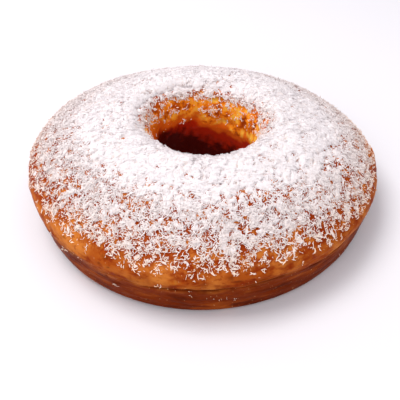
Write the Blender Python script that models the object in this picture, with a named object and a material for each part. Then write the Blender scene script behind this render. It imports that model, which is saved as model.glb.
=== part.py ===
"""A baked ring cake strewn with grated coconut, as one solid.

Run it with blender --background --python part.py, or from Blender's text editor.
Metres, +Z up. The cake stands on z = 0, and the origin is the centre of its foot.
The photograph's viewer looks along +Y, so -Y is the front.
"""

import math

import bmesh
import bpy
import numpy as np
from mathutils import Matrix, Vector
from mathutils.bvhtree import BVHTree

MM = 0.001

# The turned section, from the foot up the pan wall, over the dome and down the hole.
OUTER_R = 120 * MM  # the widest ring
WIDEST_Z = 32 * MM  # the height of that ring, where the dome starts
HEIGHT = 67.5 * MM  # foot to crest, with the coconut
CREST_R = 53 * MM  # the highest ring, close to the hole
FOOT_R = 115 * MM  # the pan wall where it meets the foot
FOOT_ROUND = 5 * MM  # the rounding of both edges of the foot
CREASE_Z = 25 * MM  # the shallow fold between the pan wall and the dome
CREASE_DEPTH = 0.9 * MM
CREASE_HALF = 3 * MM  # half of the fold's height
HOLE_R = 34.5 * MM  # the narrowest ring of the hole
THROAT_Z = 33 * MM  # the height of that ring
HOLE_FOOT_R = 37 * MM  # the hole's edge at the foot: the pan's tube was tapered
DOME_FULLNESS = 1.5  # 2 is an ellipse, and less is flatter
FUNNEL_FULLNESS = 2.0
WALL_SWELL = 0.8  # under 1, so that the pan wall bulges a little

# What a hand-mixed cake does to that section, as shares of OUTER_R.
# Each wave is (waves around the ring, cosine share, sine share).
OUTLINE_WAVES = ((2, 0.012, -0.007), (3, 0.007, 0.010))
HOLE_SHIFT = 2.6 * MM  # the hole lies off centre, towards +X
TOP_SLOPE = (-0.03, -0.023)  # the crest is higher at -X and at the front
LUMP = 0.9 * MM  # how far the dome's slow lumps rise and fall
CREASE_WANDER = 1.4 * MM  # how far the fold strays up and down

# The coconut that stands out of the matted layer.
SHREDS = 205
SHRED_LENGTH = (5.0 * MM, 8.5 * MM)
SHRED_WIDTH = (1.5 * MM, 2.4 * MM)
SHRED_THICK = (1.5 * MM, 2.0 * MM)
SHRED_SUNK = 0.45  # the share of its thickness that lies in the cake
SHRED_TIP = 0.55  # the width at its ends, as a share of the middle
SHRED_TURN = math.radians(42)  # how far one half of it may turn from the other
SHRED_INNER_R = 38 * MM
SHRED_OUTER_R = 116 * MM
GOLDEN_ANGLE = math.pi * (3 - math.sqrt(5))
SEED = 11

STEPS_AROUND = 84
FOOT_ARC_STEPS = 2
WALL_STEPS = 2
DOME_STEPS = 11
FUNNEL_STEPS = 6
TUBE_STEPS = 2
DROP_HEIGHT = 0.2  # rays that find the surface start here


def clear_scene():
    """Remove what the startup file holds."""
    for obj in list(bpy.data.objects):
        bpy.data.objects.remove(obj, do_unlink=True)


def material(name, colour, roughness):
    """A Principled material of one colour."""
    made = bpy.data.materials.new(name)
    made.use_nodes = True
    shader = made.node_tree.nodes["Principled BSDF"]
    shader.inputs["Base Color"].default_value = (*colour, 1)
    shader.inputs["Roughness"].default_value = roughness
    shader.inputs["Metallic"].default_value = 0
    return made


def quarter(centre, radii, start, end, steps, fullness=2.0):
    """Points of a quarter superellipse in the (r, z) plane, with both ends."""
    points = []
    for k in range(steps + 1):
        turn = start + (end - start) * k / steps
        across = abs(math.cos(turn)) ** (2 / fullness)
        up = abs(math.sin(turn)) ** (2 / fullness)
        points.append((
            centre[0] + radii[0] * math.copysign(across, math.cos(turn)),
            centre[1] + radii[1] * math.copysign(up, math.sin(turn)),
        ))
    return points


def wall_radius(z):
    """The radius of the bulging pan wall at a height, from the foot to the widest ring."""
    share = (z - FOOT_ROUND) / (WIDEST_Z - FOOT_ROUND)
    return FOOT_R + (OUTER_R - FOOT_R) * share**WALL_SWELL


def section():
    """The turned section as a closed list of (r, z), counterclockwise."""
    quarter_turn = math.pi / 2
    foot_edge = (FOOT_R - FOOT_ROUND, FOOT_ROUND)
    hole_edge = (HOLE_FOOT_R + FOOT_ROUND, FOOT_ROUND)
    rounding = (FOOT_ROUND, FOOT_ROUND)
    fold_foot = CREASE_Z - CREASE_HALF
    points = quarter(foot_edge, rounding, -quarter_turn, 0, FOOT_ARC_STEPS)
    for k in range(1, WALL_STEPS + 1):
        z = FOOT_ROUND + (fold_foot - FOOT_ROUND) * k / WALL_STEPS
        points.append((wall_radius(z), z))
    points.append((wall_radius(CREASE_Z) - CREASE_DEPTH, CREASE_Z))
    points.append((wall_radius(CREASE_Z + CREASE_HALF), CREASE_Z + CREASE_HALF))
    points += quarter(
        (CREST_R, WIDEST_Z),
        (OUTER_R - CREST_R, HEIGHT - WIDEST_Z),
        0,
        quarter_turn,
        DOME_STEPS,
        DOME_FULLNESS,
    )
    points += quarter(
        (CREST_R, THROAT_Z),
        (CREST_R - HOLE_R, HEIGHT - THROAT_Z),
        quarter_turn,
        2 * quarter_turn,
        FUNNEL_STEPS,
        FUNNEL_FULLNESS,
    )[1:]
    for k in range(1, TUBE_STEPS + 1):
        share = k / TUBE_STEPS
        points.append((
            HOLE_R + (HOLE_FOOT_R - HOLE_R) * share,
            THROAT_Z + (FOOT_ROUND - THROAT_Z) * share,
        ))
    points += quarter(hole_edge, rounding, 2 * quarter_turn, 3 * quarter_turn, FOOT_ARC_STEPS)[1:]
    return points


def waves(around, table):
    """The sum of the waves of a table, at an angle around the ring."""
    return sum(c * math.cos(n * around) + s * math.sin(n * around) for n, c, s in table)


def outline_middle():
    """The middle of the box round the widest ring, which becomes the origin."""
    turns = [2 * math.pi * k / 720 for k in range(720)]
    ring = [OUTER_R * (1 + waves(t, OUTLINE_WAVES)) for t in turns]
    xs = [r * math.cos(t) for r, t in zip(ring, turns)]
    ys = [r * math.sin(t) for r, t in zip(ring, turns)]
    return (min(xs) + max(xs)) / 2, (min(ys) + max(ys)) / 2


def lumps(around, r):
    """Slow lumps of the dome, from -1 to 1, as crossing waves."""
    out = r / OUTER_R
    return (
        0.40 * math.sin(3 * around + 5.1 * out + 0.6)
        + 0.35 * math.sin(5 * around - 7.3 * out + 2.2)
        + 0.25 * math.sin(8 * around + 11.0 * out + 4.1)
    )


def uneven(r, z, around, middle):
    """Where a point of the true turned section goes on the hand-made cake."""
    out = min(max((r - HOLE_R) / (OUTER_R - HOLE_R), 0), 1)
    high = z / HEIGHT
    near_crease = z / CREASE_Z * math.exp(-(((z - CREASE_Z) / (3 * CREASE_HALF)) ** 2))
    wander = math.sin(4 * around + 0.7) + 0.5 * math.sin(9 * around + 2.0)
    radius = r * (1 + out * waves(around, OUTLINE_WAVES))
    x = radius * math.cos(around) + HOLE_SHIFT * (1 - out) - middle[0]
    y = radius * math.sin(around) - middle[1]
    slope = (TOP_SLOPE[0] * x + TOP_SLOPE[1] * y) / OUTER_R
    z += z * slope * high
    z += LUMP * lumps(around, r) * high**2
    z += CREASE_WANDER / 1.5 * wander * near_crease * out
    return Vector((x, y, z))


def ring_body():
    """The cake without the loose coconut: the section spun once, then made uneven."""
    body = bmesh.new()
    corners = [body.verts.new((r, 0, z)) for r, z in section()]
    loop = [body.edges.new((a, b)) for a, b in zip(corners, corners[1:] + corners[:1])]
    bmesh.ops.spin(
        body,
        geom=corners + loop,
        cent=(0, 0, 0),
        axis=(0, 0, 1),
        angle=2 * math.pi,
        steps=STEPS_AROUND,
        use_merge=True,
        use_duplicate=False,
    )
    middle = outline_middle()
    for v in body.verts:
        around = math.atan2(v.co.y, v.co.x)
        v.co = uneven(math.hypot(v.co.x, v.co.y), v.co.z, around, middle)
    bmesh.ops.recalc_face_normals(body, faces=body.faces)
    return body


def shred(name, place, length, width, thick, turn):
    """One bent strip of coconut: two lengths of a box, narrower at both ends."""
    strip = bmesh.new()
    half = length / 2 * Vector((math.cos(turn / 2), math.sin(turn / 2), 0))
    stations = ((-half.x, half.y, SHRED_TIP), (0, 0, 1), (half.x, half.y, SHRED_TIP))
    rings = []
    for x, y, share in stations:
        side, up = width / 2 * share, thick / 2 * share
        rings.append([strip.verts.new((x, y + a * side, b * up)) for a, b in ((1, 1), (-1, 1), (-1, -1), (1, -1))])
    for first, second in zip(rings, rings[1:]):
        for k in range(4):
            strip.faces.new((first[k], first[k - 1], second[k - 1], second[k]))
    strip.faces.new(rings[0])
    strip.faces.new(rings[-1][::-1])
    bmesh.ops.recalc_face_normals(strip, faces=strip.faces)
    mesh = bpy.data.meshes.new(name)
    strip.to_mesh(mesh)
    strip.free()
    mesh.transform(place)
    return bpy.data.objects.new(name, mesh)


def strew(body):
    """Shreds over the dome and the mouth of the hole, evenly spread by the golden angle."""
    draw = np.random.default_rng(SEED)
    surface = BVHTree.FromBMesh(body)
    strips = []
    for k in range(SHREDS):
        share = (k + 0.5) / SHREDS
        r = math.sqrt(SHRED_INNER_R**2 + (SHRED_OUTER_R**2 - SHRED_INNER_R**2) * share)
        around = k * GOLDEN_ANGLE
        length, width, thick = (draw.uniform(*span) for span in (SHRED_LENGTH, SHRED_WIDTH, SHRED_THICK))
        heading = draw.uniform(0, 2 * math.pi)
        turn = SHRED_TURN * draw.uniform(-1, 1)
        start = Vector((r * math.cos(around), r * math.sin(around), DROP_HEIGHT))
        spot, normal, _, _ = surface.ray_cast(start, Vector((0, 0, -1)))
        lift = normal * thick * (0.5 - SHRED_SUNK)
        facing = normal.to_track_quat("Z", "Y").to_matrix().to_4x4()
        place = Matrix.Translation(spot + lift) @ facing @ Matrix.Rotation(heading, 4, "Z")
        strips.append(shred(f"shred_{k:03d}", place, length, width, thick, turn))
    return strips


def fuse(whole, strips):
    """Join the strips to the cake by one Boolean union, and remove them."""
    coconut = bpy.data.collections.new("coconut")
    bpy.context.scene.collection.children.link(coconut)
    for strip in strips:
        coconut.objects.link(strip)
    union = whole.modifiers.new("coconut", "BOOLEAN")
    union.operation = "UNION"
    union.solver = "EXACT"
    union.operand_type = "COLLECTION"
    union.collection = coconut
    graph = bpy.context.evaluated_depsgraph_get()
    fused = bpy.data.meshes.new_from_object(whole.evaluated_get(graph))
    whole.modifiers.remove(union)
    whole.data = fused
    for strip in strips:
        bpy.data.objects.remove(strip, do_unlink=True)
    bpy.data.collections.remove(coconut)


def main():
    """Build the cake as the one object ring_cake."""
    clear_scene()
    body = ring_body()
    strips = strew(body)
    mesh = bpy.data.meshes.new("ring_cake")
    body.to_mesh(mesh)
    body.free()
    cake = bpy.data.objects.new("ring_cake", mesh)
    bpy.context.scene.collection.objects.link(cake)
    fuse(cake, strips)
    cake.data.shade_smooth()
    cake.data.set_sharp_from_angle(angle=math.radians(40))
    cake.data.materials.clear()
    cake.data.materials.append(material("coconut_and_crust", (0.80, 0.70, 0.60), 0.7))


main()
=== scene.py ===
"""A baked ring cake under grated coconut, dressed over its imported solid.

The cake is one turned section made uneven. Every surface here is worked out from
two coordinates: the arc along the section, which is nought at the widest ring,
grows over the dome and down the hole and is negative on the pan wall, and the
angle around the ring. Metres, +Z up, -Y towards the viewer.
"""

import logging
import math
from dataclasses import dataclass, field
from enum import Enum
from typing import Any, Optional, Union

import bpy
import numpy as np
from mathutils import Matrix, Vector


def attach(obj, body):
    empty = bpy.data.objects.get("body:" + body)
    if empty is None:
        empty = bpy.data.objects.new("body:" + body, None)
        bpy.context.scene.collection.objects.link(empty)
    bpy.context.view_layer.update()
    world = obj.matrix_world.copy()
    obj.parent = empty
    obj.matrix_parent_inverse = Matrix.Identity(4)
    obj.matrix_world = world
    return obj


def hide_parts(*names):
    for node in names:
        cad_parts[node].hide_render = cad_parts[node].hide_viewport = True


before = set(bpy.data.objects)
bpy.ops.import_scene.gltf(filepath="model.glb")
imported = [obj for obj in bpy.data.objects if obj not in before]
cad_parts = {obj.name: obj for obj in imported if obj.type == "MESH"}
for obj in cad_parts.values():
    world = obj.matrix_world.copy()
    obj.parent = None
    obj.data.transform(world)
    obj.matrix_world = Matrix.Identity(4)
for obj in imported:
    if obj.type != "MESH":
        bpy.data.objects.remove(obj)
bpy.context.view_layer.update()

MM = 0.001
LOG = logging.getLogger("ring_cake")
Array = np.ndarray
Pair = tuple[float, float]
Triple = tuple[float, float, float]
Colour = Triple
Number = Union["Value", float]
Material = bpy.types.Material
Piece = bpy.types.Object


# Numbers that vary in space


def smooth_step(low: float, high: float, value: Array) -> Array:
    """Rise from 0 at low to 1 at high as the cubic 3t^2 - 2t^3, or fall where high is the lower."""
    share = np.clip((value - low) / (high - low), 0.0, 1.0)
    return share * share * (3.0 - 2.0 * share)


def bell(value: Array, middle: float, half: float) -> Array:
    """A bell about a middle: exp(-((value - middle) / half)^2)."""
    return np.exp(-(((value - middle) / half) ** 2))


def turn_bell(around: Array, middle: float, half: float, power: int = 2) -> Array:
    """A bell about an angle, whose distance is taken the short way round and raised to a power."""
    away = (around - middle + math.pi) % (2 * math.pi) - math.pi
    return np.exp(-((away / half) ** power))


@dataclass(frozen=True)
class Grain:
    """Smooth noise in space: random numbers on a cubic lattice, blended between its corners."""

    size: float
    octaves: int = 1
    seed: int = 0

    def corner(self, cell: Array, octave: int) -> Array:
        """A number from -1 to 1 for each lattice corner, hashed from its whole coordinates.

        Args:
            cell: Whole numbers, three to a row.
            octave: Which octave is asked for, so that none repeats another.

        Returns:
            One number for each row.
        """
        x, y, z = (cell[..., k].astype(np.uint32) for k in range(3))
        mixed = x * np.uint32(374761393) + y * np.uint32(668265263) + z * np.uint32(2246822519)
        mixed = mixed + np.uint32((self.seed * 97 + octave) * 40503 % 2**31)
        mixed = (mixed ^ (mixed >> np.uint32(13))) * np.uint32(1274126177)
        mixed = mixed ^ (mixed >> np.uint32(16))
        return mixed.astype(np.float64) / 2.0**31 - 1.0

    def at(self, points: Array, stretch: Triple = (1.0, 1.0, 1.0)) -> Array:
        """The noise at points: the sum of its octaves, each half as large and half as strong.

        Args:
            points: Positions in metres, three to a row.
            stretch: How much longer a grain is along each axis.

        Returns:
            Numbers mostly between -1 and 1.
        """
        total = np.zeros(points.shape[:-1])
        for octave in range(self.octaves):
            spot = points / (np.array(stretch) * self.size) * 2.0**octave + 31.7
            cell = np.floor(spot).astype(np.int64)
            share = spot - cell
            share = share**3 * (share * (share * 6.0 - 15.0) + 10.0)
            value = np.zeros(points.shape[:-1])
            for k in range(8):
                step = np.array([k & 1, (k >> 1) & 1, (k >> 2) & 1])
                weight = np.prod(np.where(step, share, 1.0 - share), axis=-1)
                value += weight * self.corner(cell + step, octave)
            total += value * 0.5**octave
        return total


# The cake's form


@dataclass(frozen=True)
class CakeForm:
    """The turned section of the cake, and what a hand-mixed batter does to it."""

    outer_r: float = 120 * MM
    widest_z: float = 32 * MM
    height: float = 67.5 * MM
    crest_r: float = 53 * MM
    foot_r: float = 115 * MM
    foot_round: float = 5 * MM
    foot_coarser: int = 8
    crease_z: float = 25 * MM
    crease_half: float = 3 * MM
    hole_r: float = 34.5 * MM
    throat_z: float = 33 * MM
    hole_foot_r: float = 37 * MM
    dome_fullness: float = 1.5
    funnel_fullness: float = 2.0
    wall_swell: float = 0.8
    outline_waves: tuple[tuple[int, float, float], ...] = ((2, 0.012, -0.007), (3, 0.007, 0.010))
    hole_shift: float = 2.6 * MM
    top_slope: Pair = (-0.03, -0.023)
    lump: float = 0.9 * MM
    lump_waves: tuple[tuple[float, int, float, float], ...] = (
        (0.40, 3, 5.1, 0.6), (0.35, 5, -7.3, 2.2), (0.25, 8, 11.0, 4.1),
    )
    crease_wander: float = 1.4 * MM
    samples: int = 240
    corrections: int = 6

    def superellipse(self, half: Pair, fullness: float, turns: Array) -> Array:
        """Points of a superellipse about nought: each is a radius times |cos| or |sin|^(2/fullness).

        Args:
            half: The two half axes.
            fullness: The exponent, 2 for an ellipse and less for a flatter curve.
            turns: The angles, from 0 to a quarter turn.

        Returns:
            Two numbers for each angle.
        """
        across = np.abs(np.cos(turns)) ** (2.0 / fullness)
        up = np.abs(np.sin(turns)) ** (2.0 / fullness)
        return np.stack([half[0] * across, half[1] * up], axis=-1)

    def outline(self) -> tuple[Array, Array]:
        """The section from the outer foot, over the dome, to the inner foot.

        The pan wall is a power curve, the dome and the funnel are superellipses that
        meet at the crest, the tube is a straight line and both feet are quarter circles.

        Returns:
            The arc length of each point, nought at the widest ring, and its (r, z).
        """
        quarter = np.linspace(0.0, math.pi / 2, self.samples)
        fillet = self.superellipse((self.foot_round, self.foot_round), 2.0, quarter[:: self.foot_coarser])
        across, up = fillet[:, 0], self.foot_round - fillet[:, 1]
        foot = np.stack([self.foot_r - self.foot_round + across, up], -1)[::-1]
        share = np.linspace(0.0, 1.0, self.samples)[1:]
        wall_r = self.foot_r + (self.outer_r - self.foot_r) * share**self.wall_swell
        wall = np.stack([wall_r, self.foot_round + (self.widest_z - self.foot_round) * share], -1)
        half = (self.outer_r - self.crest_r, self.height - self.widest_z)
        rise = self.superellipse(half, self.dome_fullness, quarter[1:])
        dome = rise + (self.crest_r, self.widest_z)
        half = (self.crest_r - self.hole_r, self.height - self.throat_z)
        drop = self.superellipse(half, self.funnel_fullness, quarter[::-1][1:])
        funnel = np.stack([self.crest_r - drop[:, 0], self.throat_z + drop[:, 1]], -1)
        tube_r = self.hole_r + (self.hole_foot_r - self.hole_r) * share
        tube = np.stack([tube_r, self.throat_z + (self.foot_round - self.throat_z) * share], -1)
        inner = np.stack([self.hole_foot_r + self.foot_round - across, up], -1)[1:]
        points = np.concatenate([foot, wall, dome, funnel, tube, inner])
        steps = np.linalg.norm(np.diff(points, axis=0), axis=1)
        arc = np.concatenate([[0.0], np.cumsum(steps)])
        return arc - arc[len(foot) + len(wall) - 1], points

    def waves(self, around: Array) -> Array:
        """The outline's share of swelling at an angle: a sum of cosines and sines."""
        return sum(c * np.cos(n * around) + s * np.sin(n * around) for n, c, s in self.outline_waves)

    def middle(self) -> Pair:
        """The middle of the box round the widest ring, which is the origin.

        Returns:
            Its X and Y in metres.
        """
        around = np.linspace(0.0, 2 * math.pi, 720, endpoint=False)
        reach = self.outer_r * (1.0 + self.waves(around))
        x, y = reach * np.cos(around), reach * np.sin(around)
        return float(x.min() + x.max()) / 2, float(y.min() + y.max()) / 2

    def lumps(self, r: Array, around: Array) -> Array:
        """Slow lumps of the dome from -1 to 1: shares of sines that cross, sin(n around + k out + p)."""
        out = r / self.outer_r
        return sum(share * np.sin(n * around + k * out + p) for share, n, k, p in self.lump_waves)

    def wander(self, around: Array) -> Array:
        """How far the crease strays up or down at an angle: the sum of two sines, in metres."""
        return self.crease_wander / 1.5 * (np.sin(4 * around + 0.7) + 0.5 * np.sin(9 * around + 2.0))

    def place(self, r: Array, z: Array, around: Array) -> Array:
        """Take points of the true turned form to the uneven cake.

        The radius swells by the outline's waves, the hole is pushed aside, the top
        slopes and is lumpy by the square of the height, and the crease strays.

        Args:
            r: Radii of the section.
            z: Heights of the section.
            around: Angles around the ring.

        Returns:
            Positions, three to a point.
        """
        out = np.clip((r - self.hole_r) / (self.outer_r - self.hole_r), 0.0, 1.0)
        high = z / self.height
        near_crease = z / self.crease_z * bell(z, self.crease_z, 3 * self.crease_half) * out
        middle = self.middle()
        radius = r * (1.0 + out * self.waves(around))
        x = radius * np.cos(around) + self.hole_shift * (1.0 - out) - middle[0]
        y = radius * np.sin(around) - middle[1]
        slope = (self.top_slope[0] * x + self.top_slope[1] * y) / self.outer_r
        up = z + z * slope * high
        up = up + self.lump * self.lumps(r, around) * high**2 + self.wander(around) * near_crease
        return np.stack([x, y, up], axis=-1)

    def angle_and_radius(self, x: Array, y: Array) -> tuple[Array, Array]:
        """The section radius and the angle that place() takes to a point seen from above.

        Starts from the plain polar coordinates and corrects them by what place() makes
        of them, a few times over.

        Args:
            x: Positions along X.
            y: Positions along Y.

        Returns:
            The angles and the radii.
        """
        aim_x, aim_y = x.copy(), y.copy()
        for _ in range(self.corrections):
            r, around = np.hypot(aim_x, aim_y), np.arctan2(aim_y, aim_x)
            got = self.place(r, np.zeros_like(r), around)
            aim_x, aim_y = aim_x + x - got[..., 0], aim_y + y - got[..., 1]
        return np.arctan2(aim_y, aim_x), np.hypot(aim_x, aim_y)


class CakeSurface:
    """The cake's smooth skin as a function of the arc and the angle."""

    step = 0.4 * MM
    usual_r = 80 * MM

    def __init__(self, form: CakeForm) -> None:
        """Work out the section once.

        Args:
            form: The cake's sizes.
        """
        self.form = form
        self.arcs, self.section = form.outline()
        self.first, self.last = float(self.arcs[0]), float(self.arcs[-1])

    def radius(self, arc: Array) -> Array:
        """The section's radius at an arc."""
        return np.interp(arc, self.arcs, self.section[:, 0])

    def height(self, arc: Array) -> Array:
        """The section's height at an arc."""
        return np.interp(arc, self.arcs, self.section[:, 1])

    def at(self, arc: Array, around: Array) -> Array:
        """Positions on the skin."""
        return self.form.place(self.radius(arc), self.height(arc), around)

    def axes(self, arc: Array, around: Array) -> tuple[Array, Array, Array]:
        """The skin's own axes at points, by small differences of at().

        Args:
            arc: Arcs along the section.
            around: Angles around the ring.

        Returns:
            Unit vectors along the ring, along the section, and out of the cake.
        """
        turn = self.step / self.usual_r
        along = self.at(arc, around + turn) - self.at(arc, around - turn)
        across = self.at(arc + self.step, around) - self.at(arc - self.step, around)
        along /= np.linalg.norm(along, axis=-1, keepdims=True)
        out = np.cross(along, across)
        out /= np.linalg.norm(out, axis=-1, keepdims=True)
        return along, np.cross(out, along), out

    def arc_on_top(self, r: Array) -> Array:
        """The arc of the skin that is seen from above at a radius.

        Args:
            r: Radii of the section.

        Returns:
            Arcs on the dome or in the funnel.
        """
        crest = int(np.argmax(self.section[:, 1]))
        widest = int(np.argmin(np.abs(self.arcs)))
        throat = crest + int(np.argmin(self.section[crest:, 0]))
        dome = np.interp(-r, -self.section[widest:crest + 1, 0], self.arcs[widest:crest + 1])
        funnel = np.interp(-r, -self.section[crest:throat + 1, 0], self.arcs[crest:throat + 1])
        return np.where(r >= self.form.crest_r, dome, funnel)


# Meshes from arrays


def mesh_piece(
    name: str,
    points: Array,
    faces: list[Array],
    finish: Material,
    marks: dict[str, Array],
    smooth: bool = True,
) -> Piece:
    """Put arrays of corners and faces into a new object that rides on the cake.

    Args:
        name: The piece's name.
        points: Its corners, three numbers to a row.
        faces: Arrays of corner numbers, one array for each count of corners to a face.
        finish: Its material.
        marks: Numbers for each corner that the material reads, by name.
        smooth: Whether its faces are shaded smooth.

    Returns:
        The new object.
    """
    mesh = bpy.data.meshes.new(name)
    mesh.vertices.add(len(points))
    mesh.vertices.foreach_set("co", points.astype(np.float32).ravel())
    counts = np.concatenate([np.full(len(part), part.shape[1]) for part in faces])
    corners = np.concatenate([part.ravel() for part in faces])
    mesh.loops.add(len(corners))
    mesh.loops.foreach_set("vertex_index", corners.astype(np.int32))
    mesh.polygons.add(len(counts))
    starts = np.concatenate([[0], np.cumsum(counts)[:-1]])
    mesh.polygons.foreach_set("loop_start", starts.astype(np.int32))
    mesh.polygons.foreach_set("use_smooth", np.full(len(counts), smooth))
    mesh.update(calc_edges=True)
    for mark, values in marks.items():
        layer = mesh.attributes.new(mark, "FLOAT", "POINT")
        layer.data.foreach_set("value", values.astype(np.float32).ravel())
    mesh.materials.append(finish)
    piece = bpy.data.objects.new(name, mesh)
    bpy.context.scene.collection.objects.link(piece)
    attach(piece, "root")
    LOG.info("%s: %d corners, %d faces", name, len(points), len(counts))
    return piece


def ring_faces(rows: int, columns: int) -> Array:
    """Four-cornered faces of a grid that closes both around the ring and along the section.

    Args:
        rows: The count of rows along the section.
        columns: The count of columns around the ring.

    Returns:
        Corner numbers, four to a face, turned so that the faces look out.
    """
    row = np.arange(rows)[:, None]
    column = np.arange(columns)[None, :]
    here = row * columns + column
    beside = row * columns + (column + 1) % columns
    after = (row + 1) % rows * columns + column
    both = (row + 1) % rows * columns + (column + 1) % columns
    return np.stack([here, beside, both, after], axis=-1).reshape(-1, 4)


def zone_rows(limits: tuple[float, ...], spacings: tuple[float, ...]) -> Array:
    """Arcs of a grid's rows, closer together where the skin is seen from near by.

    Args:
        limits: The arcs between the zones, from first to last.
        spacings: How far apart the rows of each zone are.

    Returns:
        The arcs, both ends included.
    """
    rows = [np.array([limits[0]])]
    for low, high, spacing in zip(limits, limits[1:], spacings):
        rows.append(np.linspace(low, high, max(2, round((high - low) / spacing) + 1))[1:])
    return np.concatenate(rows)


# Finishes


@dataclass(frozen=True)
class Value:
    """A number or colour that varies over a surface: an output socket with Python's operators."""

    recipe: "Recipe"
    socket: Optional[bpy.types.NodeSocket]

    def reckon(self, operation: str, *values: Number) -> "Value":
        """Add a Math node of an operation on these values."""
        return self.recipe.node("ShaderNodeMath", {"operation": operation}, dict(enumerate(values)))

    def __add__(self, other: Number) -> "Value":
        """self + other."""
        return self.reckon("ADD", self, other)

    __radd__ = __add__

    def __sub__(self, other: Number) -> "Value":
        """self - other."""
        return self.reckon("SUBTRACT", self, other)

    def __rsub__(self, other: float) -> "Value":
        """other - self."""
        return self.reckon("SUBTRACT", other, self)

    def __mul__(self, other: Number) -> "Value":
        """self * other."""
        return self.reckon("MULTIPLY", self, other)

    __rmul__ = __mul__

    def between(self, low: float, high: float) -> "Value":
        """Rise smoothly from 0 to 1 as this goes from low to high."""
        inputs = {"Value": self, "From Min": low, "From Max": high}
        return self.recipe.node("ShaderNodeMapRange", {"interpolation_type": "SMOOTHSTEP"}, inputs)


class Recipe:
    """The nodes of one finish, all made by one method."""

    def __init__(self, name: str) -> None:
        """Start a material that holds only its output.

        Args:
            name: The material's name.
        """
        self.material = bpy.data.materials.new(name)
        self.material.use_nodes = True
        self.tree = self.material.node_tree
        self.tree.nodes.clear()

    def node(
        self, kind: str, settings: dict[str, Any], inputs: dict[Any, Any], output: Any = 0
    ) -> Value:
        """Add a node.

        Args:
            kind: Blender's name for the node's type.
            settings: What is set on the node, before its sockets.
            inputs: Numbers, colours or Values for its sockets, by name or by place.
            output: Which of its outputs is wanted.

        Returns:
            That output, which is empty for the material's own output node.
        """
        made = self.tree.nodes.new(kind)
        for key, setting in settings.items():
            setattr(made, key, setting)
        for key, given in inputs.items():
            if isinstance(given, Value):
                self.tree.links.new(given.socket, made.inputs[key])
            else:
                made.inputs[key].default_value = given
        return Value(self, made.outputs[output] if made.outputs else None)

    def stretched(self, scale: Triple) -> Value:
        """Object coordinates, each times a number of its own."""
        place = self.node("ShaderNodeTexCoord", {}, {}, "Object")
        return self.node("ShaderNodeVectorMath", {"operation": "MULTIPLY"}, {0: place, 1: scale})

    def noise(
        self, size: float, detail: float = 2.0, scale: Triple = (1.0, 1.0, 1.0), rough: float = 0.5
    ) -> Value:
        """Noise whose grains are about so many metres across.

        Args:
            size: The size of a grain.
            detail: Blender's count of finer layers.
            scale: How much each axis is squeezed.
            rough: How strong the finer layers are.

        Returns:
            Numbers about 0.5.
        """
        inputs = {"Vector": self.stretched(scale), "Scale": 1.0 / size, "Detail": detail}
        inputs["Roughness"] = rough
        return self.node("ShaderNodeTexNoise", {"noise_dimensions": "3D"}, inputs, "Fac")

    def mark(self, name: str) -> Value:
        """A number that the piece's mesh carries."""
        return self.node("ShaderNodeAttribute", {"attribute_name": name}, {}, "Fac")

    def layers(self, under: Any, *over: tuple[Value, Any]) -> Value:
        """Lay colours over each other.

        Args:
            under: The lowest colour.
            over: Pairs of a share, and the colour that covers what is below by that share.

        Returns:
            The mixed colour.
        """
        for share, colour in over:
            inputs = {"Factor": share, 6: self.opaque(under), 7: self.opaque(colour)}
            under = self.node("ShaderNodeMix", {"data_type": "RGBA"}, inputs, 2)
        return under

    @staticmethod
    def opaque(colour: Any) -> Any:
        """A colour with its alpha, or the Value that was given."""
        return colour if isinstance(colour, Value) else (*colour, 1.0)

    def bump(self, height: Value, depth: float, strength: float = 1.0) -> Value:
        """A normal from a height that is given in shares of a depth in metres."""
        inputs = {"Height": height, "Distance": depth, "Strength": strength}
        return self.node("ShaderNodeBump", {}, inputs, "Normal")

    def close(self, inputs: dict[str, Any]) -> Material:
        """Add the Principled shader and the output.

        Args:
            inputs: Values, numbers or colours for the shader's sockets.

        Returns:
            The finished material.
        """
        shader = self.node("ShaderNodeBsdfPrincipled", {}, inputs)
        self.node("ShaderNodeOutputMaterial", {}, {"Surface": shader})
        return self.material


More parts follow.
